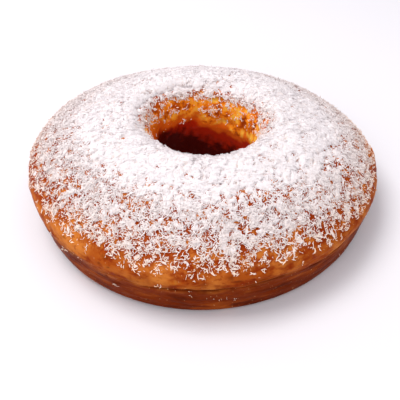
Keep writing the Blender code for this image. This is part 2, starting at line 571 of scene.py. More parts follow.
@dataclass(frozen=True)
class CrustFinish:
    """Moist glossy crust: orange over the dome, red-brown at the pan wall, golden in the funnel."""

    dome: Colour = (0.37, 0.073, 0.008)
    dome_pale: Colour = (0.58, 0.18, 0.030)
    dome_deep: Colour = (0.22, 0.022, 0.0025)
    wall: Colour = (0.17, 0.022, 0.0025)
    wall_deep: Colour = (0.085, 0.009, 0.0010)
    wall_pale: Colour = (0.29, 0.056, 0.006)
    funnel: Colour = (0.98, 0.28, 0.012)
    funnel_pale: Colour = (1.0, 0.56, 0.07)
    funnel_deep: Colour = (0.30, 0.036, 0.003)
    ember: Colour = (0.66, 0.105, 0.007)
    tube: Colour = (0.42, 0.018, 0.003)
    # Painted shade low in the hole
    tube_painted_shade: Colour = (0.07, 0.003, 0.001)
    # Crust under the coconut: partly damp, partly painted shade between the shreds
    damp_and_shade: Colour = (0.27, 0.028, 0.003)
    # Painted shade in the crease's fold
    fold_and_shade: Colour = (0.055, 0.006, 0.0008)
    crumb: Colour = (0.74, 0.42, 0.20)
    roughness: float = 0.40
    specular: float = 0.012
    coat: float = 0.15
    coat_roughness: float = 0.13
    relief: float = 0.22 * MM

    def make(self) -> Material:
        """Build the material, from the marks that the crust's mesh carries.

        Returns:
            The finished material.
        """
        recipe = Recipe("crust")
        names = ("low", "funnel", "hole_shade", "tube", "fold_and_shade", "pit", "damp_and_shade")
        low, funnel, hole_shade, tube, fold_and_shade, pit, damp_and_shade = (recipe.mark(name) for name in names)
        mottle = recipe.noise(7 * MM, 4.0, rough=0.6)
        stray = mottle - 0.5
        blotch = recipe.noise(26 * MM, 2.0)
        streak = recipe.noise(30 * MM, 3.0, (1.0, 1.0, 3.4), 0.5) - 0.5
        fine = recipe.noise(1.3 * MM, 2.0, rough=0.6)
        # The dome: browned unevenly, and redder or paler in patches under the coconut, partly damp crust and
        # partly painted shade between the shreds
        baked = recipe.noise(12 * MM, 4.0, (1.0, 1.0, 2.0), 0.6)
        freckle = recipe.noise(3.2 * MM, 2.0, (1.0, 1.0, 1.6), 0.6)
        dome = recipe.layers(
            self.dome_deep,
            (baked.between(0.34, 0.56), self.dome),
            ((blotch + 0.5 * baked).between(0.66, 0.96), self.dome_pale),
            (0.75 * damp_and_shade * mottle.between(0.62, 0.44), self.damp_and_shade),
            (0.7 * damp_and_shade * mottle.between(0.47, 0.62), self.dome_pale),
            (0.5 * freckle.between(0.54, 0.68), self.dome_deep),
        )
        # The pan wall: streaks that are drawn out along the ring
        drawn = recipe.noise(24 * MM, 3.0, (1.0, 1.0, 4.2), 0.55)
        wall = recipe.layers(
            self.wall_deep,
            ((drawn + 0.5 * stray).between(0.24, 0.58), self.wall),
            ((drawn + 0.9 * streak).between(0.54, 0.78), self.wall_pale),
        )
        # The funnel: golden patches, darker under the coconut as damp crust and painted shade, then embers,
        # then the dark tube below, which starts higher on the left as painted shade and turns nearly black
        # low in the hole as painted shade
        patchy = recipe.noise(9 * MM, 3.0, rough=0.65)
        mouth = recipe.layers(
            self.funnel_deep,
            (patchy.between(0.36, 0.52), self.funnel),
            (patchy.between(0.47, 0.62), self.funnel_pale),
            (0.95 * damp_and_shade * mottle.between(0.66, 0.46), self.funnel_deep),
            ((tube + 0.8 * stray).between(-0.15, 0.35), self.ember),
        )
        # Painted shade: the tube turns nearly black low in the hole, higher on one side of the ring
        inside = recipe.layers(self.tube, ((hole_shade + 1.5 * stray).between(0.10, 0.80), self.tube_painted_shade))
        # All of them, with ragged edges, and painted shade in the fold, the pits and specks of crumb over
        # them
        edge = streak * 1.5 + stray * 0.5
        speck = recipe.noise(1.0 * MM, 0.0).between(0.79, 0.85)
        colour = recipe.layers(
            dome,
            ((low + edge).between(0.10, 0.90), wall),
            ((funnel + edge).between(0.2, 0.8), mouth),
            ((tube + 0.5 * stray).between(0.45, 0.95), inside),
            (fold_and_shade, self.fold_and_shade),
            (0.6 * pit, self.wall_deep),
            (0.6 * speck * (1.0 - tube), self.crumb),
        )
        uneven = self.roughness + 0.35 * stray + 0.25 * (fine - 0.5)
        glossy = recipe.noise(4.5 * MM, 2.0).between(0.56, 0.72)
        return recipe.close({
            "Base Color": colour,
            "Roughness": uneven,
            "Specular IOR Level": self.specular,
            "Coat Weight": self.coat * glossy * (1.0 - 0.6 * low),
            "Coat Roughness": self.coat_roughness,
            "Normal": recipe.bump(fine + 0.6 * mottle, self.relief, 0.5),
        })


@dataclass(frozen=True)
class CoconutFinish:
    """Dry grated coconut: white flesh, greyer by a mark that is partly random tone and partly painted shade,
    and orange where it lies on the crust, partly real stain and partly painted bounce light.
    """

    flesh: Colour = (0.915, 0.862, 0.875)
    shade: Colour = (0.735, 0.683, 0.703)
    # Orange on coconut near the crust: partly real stain, partly painted bounce light from the crust
    stain_and_bounce: Colour = (0.90, 0.62, 0.40)
    roughness: float = 0.62
    specular: float = 0.30
    grain: float = 0.7 * MM
    relief: float = 0.05 * MM

    def make(self) -> Material:
        """Build the material, from the tone and painted shade and the stain and painted bounce light that
        each shred carries.

        Returns:
            The finished material.
        """
        recipe = Recipe("coconut")
        fibre = recipe.noise(self.grain, 2.0, rough=0.6)
        tone, stain_and_bounce = recipe.mark("tone"), recipe.mark("stain_and_bounce")
        share = (tone + 0.5 * (fibre - 0.5)).between(0.0, 1.25)
        colour = recipe.layers(self.flesh, (share, self.shade), (stain_and_bounce, self.stain_and_bounce))
        return recipe.close({
            "Base Color": colour,
            "Roughness": self.roughness,
            "Specular IOR Level": self.specular,
            "Normal": recipe.bump(fibre, self.relief, 0.5),
        })


@dataclass(frozen=True)
class FloorFinish:
    """A plain pale studio sweep."""

    colour: Colour = (0.82, 0.80, 0.84)
    roughness: float = 0.8

    def make(self) -> Material:
        """Build the material."""
        recipe = Recipe("floor")
        return recipe.close({"Base Color": (*self.colour, 1.0), "Roughness": self.roughness})


# The crust


@dataclass(frozen=True)
class Spots:
    """Places on the smooth skin, with the share of crust that coconut hides there."""

    arc: Array
    around: Array
    points: Array
    even: Array


@dataclass(frozen=True)
class Cover:
    """How thickly the coconut lies, from bare crust to a closed mat.

    A side of the ring is an angle, the half width of a bell about it, and how much lower
    the coconut comes there: the right, the left, the back and the far left.
    """

    reach: float = 12.9 * MM
    sharpness: float = 1.42
    sides: tuple[Triple, ...] = (
        (-0.1, 0.75, 0.5 * MM), (-2.3, 0.75, -0.6 * MM), (1.6, 1.25, 7 * MM), (-2.95, 0.42, 2.6 * MM),
    )
    thin_share: float = 0.09
    thin_arcs: Pair = (60 * MM, 34 * MM)
    thin_up_right: float = 9 * MM
    thin_more: Pair = (0.5, 0.3)
    funnel_arcs: Pair = (89.0 * MM, 107.0 * MM)
    funnel_lean: Pair = (2.6 * MM, 1.5 * MM)
    lean_from: float = 2.9
    wider_right: Pair = (11 * MM, 9 * MM)
    sprinkled: float = 0.24
    sprinkled_arcs: Pair = (119 * MM, 104 * MM)
    brink: Pair = (89 * MM, 6 * MM)
    front_at: Pair = (-0.1, 0.6)
    matted_at: Pair = (0.88, 0.99)
    fullest: float = 0.9975
    lace: Grain = Grain(2.0 * MM, 2, 57)
    lace_strength: float = 1.4
    billow: Grain = Grain(5.4 * MM, 2, 58)
    drift: Grain = Grain(16 * MM, 1, 59)
    drift_share: float = 0.30
    drift_strength: float = 0.70
    puff_levels: Pair = (0.92, 0.52)
    puff_edge: float = 0.20
    puff_depth: float = 3.0
    puffs_at: Pair = (0.05, 0.35)
    creased_at: Pair = (0.30, 0.06)
    crease_half: float = 0.14
    crease_depth: float = 0.40
    whole_at: Pair = (0.97, 1.0)
    closed_at: Pair = (2.3, 4.2)

    def even(self, arc: Array, around: Array) -> Array:
        """The share of crust that is hidden, without its patches.

        Up the dome the bare share is exp(-(arc / reach)^sharpness) and a thin rest that
        closes further up. The coconut comes lower at the right and the far left, and
        lowest at the back. In the funnel the cover falls smoothly to a few sprinkled
        shreds and then to nought, over a wider zone at the right.

        Args:
            arc: Arcs along the section.
            around: Angles around the ring.

        Returns:
            Shares from 0 to 1.
        """
        bells = [turn_bell(around, angle, half) for angle, half, _ in self.sides]
        right, left = bells[:2]
        up = arc
        for side, (_, _, lower) in zip(bells, self.sides):
            up = up + lower * side
        up = np.maximum(up, 0.0)
        more_right, more_left = self.thin_more
        thin = smooth_step(*self.thin_arcs, up + self.thin_up_right * right)
        thin = self.thin_share * (1.0 + more_right * right + more_left * left) * thin
        bare = (1.0 - self.thin_share) * np.exp(-((up / self.reach) ** self.sharpness)) + thin
        once, twice = self.funnel_lean
        down = arc + once * np.cos(around - self.lean_from) + twice * np.cos(2 * around)
        first, last = self.funnel_arcs
        sooner, later = self.wider_right
        inside = smooth_step(last + later * right, first - sooner * right, down)
        inside = np.maximum(inside, self.sprinkled * smooth_step(*self.sprinkled_arcs, down))
        return (1.0 - bare) * inside

    def near_brink(self, spots: Spots) -> Array:
        """Where the coconut hangs ragged over the hole's brink: a bell across it, at the front."""
        return bell(spots.arc, *self.brink) * smooth_step(*self.front_at, -np.sin(spots.around))

    def matted(self, spots: Spots) -> Array:
        """Where a mat lies below the loose shreds, from 0 to 1."""
        return smooth_step(*self.matted_at, spots.even)

    def lumps(self, points: Array) -> Array:
        """Rounded lumps with creases between them: the size of a noise without its sign."""
        return np.abs(self.billow.at(points))

    def creased(self, points: Array) -> Array:
        """How far down a crease between the lumps a point lies, from 0 to 1."""
        return smooth_step(*self.creased_at, self.lumps(points))

    def depth(self, spots: Spots) -> Array:
        """How many shreds deep the coconut lies.

        Shreds thrown at random over a share s of the crust lie -ln(1 - s) deep. A fine
        and a slow noise n make the lace uneven, by exp(strength n). The creases between
        the lumps hold less, and puffs stand where the lumps pass a level that sinks as
        the share grows.

        Args:
            spots: Places on the skin.

        Returns:
            Depths, from 0 to about 8.
        """
        even, drift = spots.even, self.drift.at(spots.points)
        thrown = -np.log(1.0 - np.clip(even, 0.0, self.fullest)) * np.exp(self.drift_strength * drift)
        lumps = self.lumps(spots.points)
        level = self.puff_levels[0] - self.puff_levels[1] * even + self.drift_share * drift
        puffs = smooth_step(level, level + self.puff_edge, lumps) * smooth_step(*self.puffs_at, even)
        shallow = self.crease_depth + (1.0 - self.crease_depth) * smooth_step(*self.whole_at, even)
        held = shallow + (1.0 - shallow) * smooth_step(0.0, self.crease_half, lumps)
        lace = np.exp(self.lace_strength * self.lace.at(spots.points))
        return thrown * held * lace + self.puff_depth * puffs

    def closed(self, spots: Spots) -> Array:
        """Where the coconut is deep enough to be a mat, from 0 to 1."""
        return smooth_step(*self.closed_at, self.depth(spots))


@dataclass(frozen=True)
class Ground:
    """How far the crust and the coconut's mat lie above or below the smooth skin."""

    surface: CakeSurface
    cover: Cover
    under_coconut: float = 1.7 * MM
    sunk_at: Pair = (0.88, 0.985)
    stray: float = 2.0 * MM
    stray_grain: Grain = Grain(22 * MM, 3, 5)
    fold_depth: float = 1.35 * MM
    fold_half: float = 0.75 * MM
    fold_breaks: Grain = Grain(26 * MM, 2, 9)
    fold_broken: Pair = (-0.45, 0.35)
    line_grain: Grain = Grain(26 * MM, 2, 11)
    line_drawn: Triple = (1.0, 1.0, 0.17)
    line_half: float = 0.085
    line_breaks: Grain = Grain(15 * MM, 2, 13)
    line_broken: Pair = (-0.25, 0.45)
    lines_at: Pair = (1.5 * MM, 5.0 * MM)
    line_share: float = 0.6
    fold_below: float = 15 * MM
    lip: float = 0.60 * MM
    lip_above: float = 0.8
    lip_half: float = 4.0 * MM
    lip_below: float = 20 * MM
    lump: float = 0.45 * MM
    lump_grain: Grain = Grain(15 * MM, 2, 3)
    wrinkle: float = 0.30 * MM
    wrinkle_grain: Grain = Grain(11 * MM, 3, 31)
    wrinkle_drawn: Triple = (1.8, 1.8, 0.28)
    wrinkle_share: Pair = (0.3, 0.7)
    wall_arcs: Pair = (12 * MM, -2 * MM)
    brink: float = 0.6 * MM
    brink_at: Pair = (115 * MM, 6 * MM)
    brink_grain: Grain = Grain(9 * MM, 2, 37)
    brink_uneven: Pair = (0.2, 2.2)
    mat_thick: Pair = (0.60 * MM, 1.25 * MM)
    mat_sunk: float = 1.6 * MM
    mound: float = 1.35 * MM
    mound_levels: Pair = (0.75, 0.30)
    swell: float = 0.8 * MM
    swell_grain: Grain = Grain(11 * MM, 2, 73)
    sag: float = 3.0 * MM
    sag_around: tuple[float, float, int] = (1.34, 1.36, 4)
    sag_from: Pair = (-4 * MM, 9 * MM)
    sag_to: Pair = (70 * MM, 30 * MM)

    def spots(self, arc: Array, around: Array) -> Spots:
        """The places on the skin at arcs and angles."""
        return Spots(arc, around, self.surface.at(arc, around), self.cover.even(arc, around))

    def grid(self, rows: Array, columns: int) -> tuple[Spots, Array]:
        """A closed grid on the skin.

        Args:
            rows: The arcs of its rows.
            columns: How many columns stand around the ring.

        Returns:
            Its crossings, and the unit vector out of the cake at each.
        """
        turns = np.linspace(0, 2 * math.pi, columns, endpoint=False)
        arc, around = np.meshgrid(rows, turns, indexing="ij")
        return self.spots(arc, around), self.surface.axes(arc, around)[2]

    def sunk(self, spots: Spots) -> Array:
        """How closed the coconut is, from 0 to 1, for what it does to the crust below."""
        return smooth_step(*self.sunk_at, spots.even)

    def above_crease(self, spots: Spots) -> Array:
        """How far above the middle of the crease each place is.

        The crease wanders with the angle, and strays by a slow noise.

        Args:
            spots: Places on the skin.

        Returns:
            Metres, less than nought below it.
        """
        form = self.surface.form
        slow = self.stray_grain.at(spots.points * (1, 1, 0))
        return spots.points[..., 2] - (form.crease_z + form.wander(spots.around) + self.stray * slow)

    def fold_and_shade(self, spots: Spots) -> Array:
        """How deep in the fold a place lies: it dents the crust, and the crust's finish paints shade into
        it.

        A bell across the height of the crease, whose depth comes and goes along the
        ring with a slow noise, so that the fold is broken into stretches. Fainter lines
        run beside it, where a noise that is drawn out along the ring passes nought.

        Args:
            spots: Places on the skin.

        Returns:
            Numbers from 0 to 1.
        """
        level, run = self.above_crease(spots), spots.points * (1, 1, 0)
        first = bell(level, 0.0, self.fold_half)
        first = first * smooth_step(*self.fold_broken, self.fold_breaks.at(run))
        lines = bell(self.line_grain.at(spots.points, self.line_drawn), 0.0, self.line_half)
        lines = lines * smooth_step(*self.line_broken, self.line_breaks.at(run))
        lines = lines * bell(level, *self.lines_at)
        return np.maximum(first, self.line_share * lines) * (spots.arc < self.fold_below)

    def settled(self, spots: Spots) -> Array:
        """How far the dome has settled at the back: a bell around the ring, faded up and down."""
        faded = self.sag * turn_bell(spots.around, *self.sag_around) * smooth_step(*self.sag_from, spots.arc)
        return faded * smooth_step(*self.sag_to, spots.arc)

    def crust(self, spots: Spots) -> Array:
        """The crust's lift above the smooth skin.

        Lumps, wrinkles that are drawn out along the ring, a lip over the fold and the
        funnel's brink are added. What has settled, and the bed that the coconut sinks
        into, are taken off.

        Args:
            spots: Places on the skin.

        Returns:
            Metres along the normal.
        """
        points, arc = spots.points, spots.arc
        wall = smooth_step(*self.wall_arcs, arc)
        least, more = self.wrinkle_share
        wrinkles = self.wrinkle * self.wrinkle_grain.at(points, self.wrinkle_drawn)
        lift = self.lump * self.lump_grain.at(points)
        lift += wrinkles * (least + more * wall)
        above = self.above_crease(spots) / self.lip_half
        lift += self.lip * bell(above, self.lip_above, 1.0) * (arc < self.lip_below)
        mean, uneven = self.brink_uneven
        uneven = mean + uneven * self.brink_grain.at(points)
        lift += self.brink * bell(arc, *self.brink_at) * uneven
        return lift - self.settled(spots) - self.under_coconut * self.sunk(spots)

    def mat(self, spots: Spots) -> Array:
        """The mat's lift: above the crust where the cover is whole, and sunk in it elsewhere.

        Args:
            spots: Places on the skin.

        Returns:
            Metres along the normal.
        """
        closed, whole = self.sunk(spots), self.cover.closed(spots)
        thin, full = self.mat_thick
        highest, middle = self.mound_levels
        mound = np.minimum(self.cover.lumps(spots.points), highest) - middle
        top = -self.under_coconut * closed + thin + (full - thin) * closed
        top = top + self.mound * closed * mound
        top = top + self.swell * closed * self.swell_grain.at(spots.points)
        return top - self.settled(spots) - self.mat_sunk * (1.0 - whole)


@dataclass(frozen=True)
class Crust:
    """The baked skin as one closed ring."""

    ground: Ground
    columns: int = 476
    zones: tuple[float, ...] = (-28 * MM, -15 * MM, 0.0, 42 * MM, 84 * MM, 122 * MM, 148 * MM)
    spacings: tuple[float, ...] = (
        1.6 * MM, 0.8 * MM, 0.42 * MM, 0.8 * MM, 2.4 * MM, 0.8 * MM, 1.6 * MM, 1.6 * MM,
    )
    pit_depth: float = 0.55 * MM
    pit_grain: Grain = Grain(2.6 * MM, 1, 21)
    pit_levels: Pair = (0.55, 0.85)
    pit_gathers: Grain = Grain(22 * MM, 1, 23)
    gathered_at: Pair = (-0.2, 0.5)
    crumb: float = 0.10 * MM
    crumb_grain: Grain = Grain(1.7 * MM, 1, 41)
    outer_foot: Pair = (-31 * MM, -26 * MM)
    inner_foot: Pair = (148 * MM, 142 * MM)
    bare_at: Pair = (0.30, 0.10)
    low_levels: Pair = (9 * MM, -7 * MM)
    low_below: float = 30 * MM
    funnel_arcs: Pair = (80 * MM, 92 * MM)
    tube_arcs: Pair = (107 * MM, 125 * MM)
    tube_stray: float = 7 * MM
    tube_grain: Grain = Grain(11 * MM, 3, 61)
    # Painted shade: the tube's darker crust reaches higher on the left, where the inner wall faces away from
    # the key lamp
    tube_shade: Pair = (6.5 * MM, -5.5 * MM)
    tube_shade_from: float = 3.25
    # Painted shade low in the hole: its heights, and how far it leans round the ring
    hole_shade_levels: Pair = (36 * MM, 12 * MM)
    hole_shade_lean: float = 20 * MM
    hole_shade_limit: float = 0.35
    hole_shade_from: float = 0.2
    damp_and_shade_at: Pair = (0.02, 0.5)
    funnel_less_damp_and_shade: float = 0.33
    funnel_above: float = 75 * MM

    def rows(self) -> Array:
        """The arcs of the grid's rows, closest on the wall and at the dome's foot."""
        skin = self.ground.surface
        return zone_rows((skin.first, *self.zones, skin.last), self.spacings)

    def pits(self, points: Array) -> Array:
        """Small burst bubbles, from 0 to 1, where a fine noise is at its highest."""
        gathered = smooth_step(*self.gathered_at, self.pit_gathers.at(points))
        return smooth_step(*self.pit_levels, self.pit_grain.at(points)) * gathered

    def marks(self, spots: Spots) -> dict[str, Array]:
        """What the finish reads at each corner, as numbers from 0 to 1.

        Args:
            spots: The corners' places on the skin.

        Returns:
            Where the pan wall, the funnel and the tube are (the tube starting higher on the left as painted
            shade), the painted shade low in the hole, and the crust under the coconut, which is partly damp
            and partly painted shade.
        """
        arc, around = spots.arc, spots.around
        shade, least = self.tube_shade
        strayed = arc + self.tube_stray * self.tube_grain.at(spots.points)
        # Painted shade: the dark tube starts higher on the left, where the inner wall faces away from the
        # key lamp
        shaded = np.maximum(shade * np.cos(around - self.tube_shade_from), least)
        # Painted shade low in the hole, reaching higher towards one side
        lean = self.hole_shade_lean * np.minimum(np.cos(around - self.hole_shade_from), self.hole_shade_limit)
        # Crust under the coconut, partly damp and partly painted shade between the shreds, less of it in the
        # funnel
        damp_and_shade_cover = spots.even - self.funnel_less_damp_and_shade * (arc > self.funnel_above)
        wall = smooth_step(*self.low_levels, self.ground.above_crease(spots))
        return {
            "low": wall * (arc < self.low_below),
            "funnel": smooth_step(*self.funnel_arcs, arc),
            "tube": smooth_step(*self.tube_arcs, strayed + shaded),
            "hole_shade": smooth_step(*self.hole_shade_levels, spots.points[..., 2] + lean),
            "damp_and_shade": smooth_step(*self.damp_and_shade_at, damp_and_shade_cover),
        }

    def build(self, finish: Material) -> Piece:
        """Make the crust.

        A point is the smooth skin, moved along its normal by the ground's lift, by
        crumb, by pits and by the fold.

        Args:
            finish: The crust's material.

        Returns:
            The new object.
        """
        spots, out = self.ground.grid(self.rows(), self.columns)
        points, shape = spots.points, spots.arc.shape
        standing = smooth_step(*self.outer_foot, spots.arc) * smooth_step(*self.inner_foot, spots.arc)
        fold_and_shade = self.ground.fold_and_shade(spots)
        pit = self.pits(points) * standing * smooth_step(*self.bare_at, spots.even)
        lift = self.ground.crust(spots) + self.crumb * self.crumb_grain.at(points)
        lift -= self.pit_depth * pit + self.ground.fold_depth * fold_and_shade
        # The fold mark also carries painted shade into the finish
        marks = {**self.marks(spots), "fold_and_shade": fold_and_shade, "pit": pit}
        points = (points + out * (lift * standing)[..., None]).reshape(-1, 3)
        piece = mesh_piece("cake_crust", points, [ring_faces(*shape)], finish, marks)
        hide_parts("ring_cake")
        return piece


# The coconut


@dataclass(frozen=True)
class CoconutMat:
    """The layer of matted coconut, closed on top and in ragged islands lower down."""

    ground: Ground
    columns: int = 620
    zones: tuple[float, ...] = (4 * MM, 50 * MM, 84 * MM, 112 * MM)
    spacings: tuple[float, ...] = (0.62 * MM, 0.9 * MM, 0.62 * MM)
    tuft: float = 0.14 * MM
    tuft_grain: Grain = Grain(1.35 * MM, 2, 74)
    raggedness: float = 2.6
    tucked: float = 2.5 * MM
    tone: float = 0.44
    # Painted shade: the mat greyer in the hollows between tufts, where it is thin, and in the creases
    # between lumps
    shade_by_tuft: float = 0.5
    shade_if_thin: float = 0.2
    shade_in_crease: float = 0.18
    # Orange in the mat's hollows: partly real stain, partly painted bounce light from the crust
    stain_and_bounce: float = 0.25
    stain_and_bounce_at: Pair = (0.1, -0.9)

    def build(self, finish: Material) -> Piece:
        """Make the mat as one closed ring, whose underside lies inside the cake.

        A point is the skin moved along its normal by the ground's lift and by fine
        tufts, which are coarser at the hole's front brink.

        Args:
            finish: The coconut's material.

        Returns:
            The new object.
        """
        ground, rows = self.ground, zone_rows(self.zones, self.spacings)
        spots, out = ground.grid(rows, self.columns)
        tufts = self.tuft_grain.at(spots.points)
        ends = np.zeros_like(tufts)
        ends[[0, -1]] = self.tucked
        ragged = 1.0 + self.raggedness * ground.cover.near_brink(spots)
        lift = ground.mat(spots) + self.tuft * ragged * tufts - ends
        # Tone and painted shade: greyer in hollows between tufts, where thin, and in creases
        tone = self.tone - self.shade_by_tuft * tufts + self.shade_if_thin * (1.0 - ground.sunk(spots))
        tone = np.clip(tone + self.shade_in_crease * ground.cover.creased(spots.points), 0, 1)
        marks = {"tone": tone, "stain_and_bounce": self.stain_and_bounce * smooth_step(*self.stain_and_bounce_at, tufts)}
        points = (spots.points + out * lift[..., None]).reshape(-1, 3)
        return mesh_piece("coconut_mat", points, [ring_faces(*tufts.shape)], finish, marks)


class Outline(Enum):
    """The cross-section of a shred, as its count of corners."""

    THREAD = 3
    RIBBON = 4


@dataclass(frozen=True)
class ShredKind:
    """One kind of coconut: how many, how large, how bent and how high they lie."""

    name: str
    count: int
    length: Pair
    width: Pair
    thick: Pair
    stations: int
    turn: float
    tip: float
    tilt: float
    stack: float
    seed: int
    gathered: float = 0.9 * MM
    brood: int = 3
    strays: float = 0.002
    outline: Outline = Outline.THREAD


@dataclass
class Lie:
    """Where shreds lie: places, headings and sizes, one to a row."""

    spot: Array
    ahead: Array
    beside: Array
    up: Array
    length: Array
    width: Array
    thick: Array
    turn: Array
    tone: Array
    stain_and_bounce: Array


@dataclass(frozen=True)
class Strewing:
    """Coconut strewn over the cake by hand: kinds of shred, gathered into small clumps."""

    ground: Ground
    fullest: float = 3.0
    thinned: float = 0.35
    on_mat: float = 0.75
    lowest_arc: float = -24 * MM
    highest_arc: float = 128 * MM
    strays_below: float = 12 * MM
    inner_arcs: Pair = (86 * MM, 94 * MM)
    inner_shorter: float = 0.20
    inner_broader: float = 0.25
    calmed: float = 0.86
    steepest: float = 1.1
    roll_more: float = 1.3
    above_mat: float = 0.1 * MM
    heaped: float = 0.35
    heap_power: float = 1.5
    bedded: Pair = (0.3, 0.8)
    tilted_rise: float = 0.30
    # Painted shade on loose shreds: greyer in the lace, less in the funnel and on puffs
    shaded_at: Pair = (0.10, 0.60)
    shades: Pair = (0.78, 0.08)
    shades_to: float = 75 * MM
    puffed_at: Pair = (1.3, 3.6)
    puffed_less_shade: float = 0.30
    own_tone: float = 0.28
    own_less: float = 0.85
    mat_tone_and_crease_shade: Pair = (0.42, 0.18)
    # Orange near bare crust: partly real stain, partly painted bounce light from the crust
    stain_and_bounce_levels: Pair = (0.46, 0.5)
    stain_and_bounce_power: int = 2
    stain_and_bounce_fall: float = 0.85
    inner_stain_and_bounce_less: float = 0.35

    def weight(self, spots: Spots, strays: float) -> Array:
        """How many shreds deep the coconut lies, for a draw of places.

        It is the cover's depth up to a limit, and a thinner layer where a mat lies below.

        Args:
            spots: Places on the skin.
            strays: The least weight, for the few shreds that fell elsewhere.

        Returns:
            Depths.
        """
        matted = self.ground.cover.matted(spots)
        depth = np.minimum(self.ground.cover.depth(spots), self.fullest)
        depth = depth * (self.thinned * (1.0 - matted) + self.on_mat / self.fullest * matted)
        return np.maximum(depth, strays * (spots.arc < self.highest_arc - self.strays_below))

    def places(self, kind: ShredKind, draw: np.random.Generator) -> tuple[Array, Array]:
        """Draw places by area and by weight, each with a few companions close by.

        Args:
            kind: The kind of shred.
            draw: The source of random numbers.

        Returns:
            The arcs and the angles.
        """
        skin = self.ground.surface
        arcs: list[Array] = []
        turns: list[Array] = []
        found = 0
        while found < kind.count:
            arc = draw.uniform(self.lowest_arc, self.highest_arc, kind.count)
            around = draw.uniform(0, 2 * math.pi, kind.count)
            by_area = skin.radius(arc) / skin.form.outer_r
            weight = self.weight(self.ground.spots(arc, around), kind.strays)
            kept = draw.uniform(0, 1, kind.count) < by_area * weight / self.on_mat
            arc, around = (np.repeat(part[kept], kind.brood) for part in (arc, around))
            arc = arc + draw.normal(0, kind.gathered, len(arc))
            around = around + draw.normal(0, kind.gathered, len(arc)) / skin.radius(arc)
            inside = (arc > self.lowest_arc) & (arc < self.highest_arc)
            arcs.append(arc[inside])
            turns.append(around[inside])
            found += int(inside.sum())
        return np.concatenate(arcs)[: kind.count], np.concatenate(turns)[: kind.count]

    def lay(self, kind: ShredKind) -> Lie:
        """Lay one kind of shred on the crust and on the mat.

        A shred heads anywhere, tilts and rolls a little, less so on the mat, and lies
        on the higher of crust and mat, at a random height in its heap.

        Args:
            kind: The kind of shred.

        Returns:
            Where each of them lies.
        """
        draw = np.random.default_rng(kind.seed)
        ground, cover = self.ground, self.ground.cover
        spots = ground.spots(*self.places(kind, draw))
        arc, share, matted = spots.arc, spots.even, cover.matted(spots)
        count = len(arc)
        along, across, out = ground.surface.axes(arc, spots.around)
        heading = draw.uniform(0, 2 * math.pi, count)[:, None]
        calm = 1.0 - self.calmed * matted * (1.0 - cover.near_brink(spots))
        tilt = calm * draw.normal(0, kind.tilt, count)
        tilt = np.clip(tilt, -self.steepest, self.steepest)[:, None]
        roll = (calm * draw.normal(0, kind.tilt * self.roll_more, count))[:, None]
        flat = along * np.cos(heading) + across * np.sin(heading)
        side = np.cross(out, flat)
        ahead = flat * np.cos(tilt) + out * np.sin(tilt)
        up = out * np.cos(tilt) - flat * np.sin(tilt)
        beside = side * np.cos(roll) + up * np.sin(roll)
        up = up * np.cos(roll) - side * np.sin(roll)
        spans = (kind.length, kind.width, kind.thick)
        length, width, thick = (draw.uniform(*span, count) for span in spans)
        inner = smooth_step(*self.inner_arcs, arc)
        length = length * (1.0 - self.inner_shorter * inner)
        width = width * (1.0 + self.inner_broader * inner)
        heap = kind.stack * calm * (self.heaped + (1.0 - self.heaped) * share)
        heap = heap * draw.uniform(0, 1, count) ** self.heap_power
        bedded, less = self.bedded
        rise = np.maximum(ground.mat(spots) + self.above_mat, ground.crust(spots))
        rise = rise + bedded * thick * (1.0 - less * matted) + heap
        rise = rise + self.tilted_rise * length * np.abs(np.sin(tilt[:, 0]))
        own = draw.normal(0, self.own_tone, count) * (1.0 - self.own_less * matted)
        # Painted shade: loose shreds greyer in the lace, less in the funnel and on puffs, matted ones greyer
        # in creases; own tone is random
        shaded = smooth_step(*self.shaded_at, share) * np.where(arc < self.shades_to, *self.shades)
        shaded = shaded - self.puffed_less_shade * smooth_step(*self.puffed_at, cover.depth(spots))
        mat_tone_and_crease_shade, creased = self.mat_tone_and_crease_shade
        mat_tone_and_crease_shade = mat_tone_and_crease_shade + creased * cover.creased(spots.points)
        tone = np.clip(mat_tone_and_crease_shade * matted + (1.0 - matted) * shaded + own, 0, 1)
        # Orange near bare crust: partly real stain, partly painted bounce light from the crust
        least, more = self.stain_and_bounce_levels
        stain_and_bounce = least + more * draw.uniform(0, 1, count) ** self.stain_and_bounce_power
        stain_and_bounce = stain_and_bounce * (1.0 - share) ** self.stain_and_bounce_fall
        stain_and_bounce = stain_and_bounce * (1.0 - self.inner_stain_and_bounce_less * inner)
        turn = kind.turn * draw.uniform(-1, 1, count)
        spot = spots.points + out * rise[:, None]
        return Lie(spot, ahead, beside, up, length, width, thick, turn, tone, stain_and_bounce)

    def strew(self, kind: ShredKind, finish: Material) -> Piece:
        """Make one kind of shred as one piece."""
        return shred_piece(kind.name, self.lay(kind), kind.outline, kind.stations, kind.tip, finish)


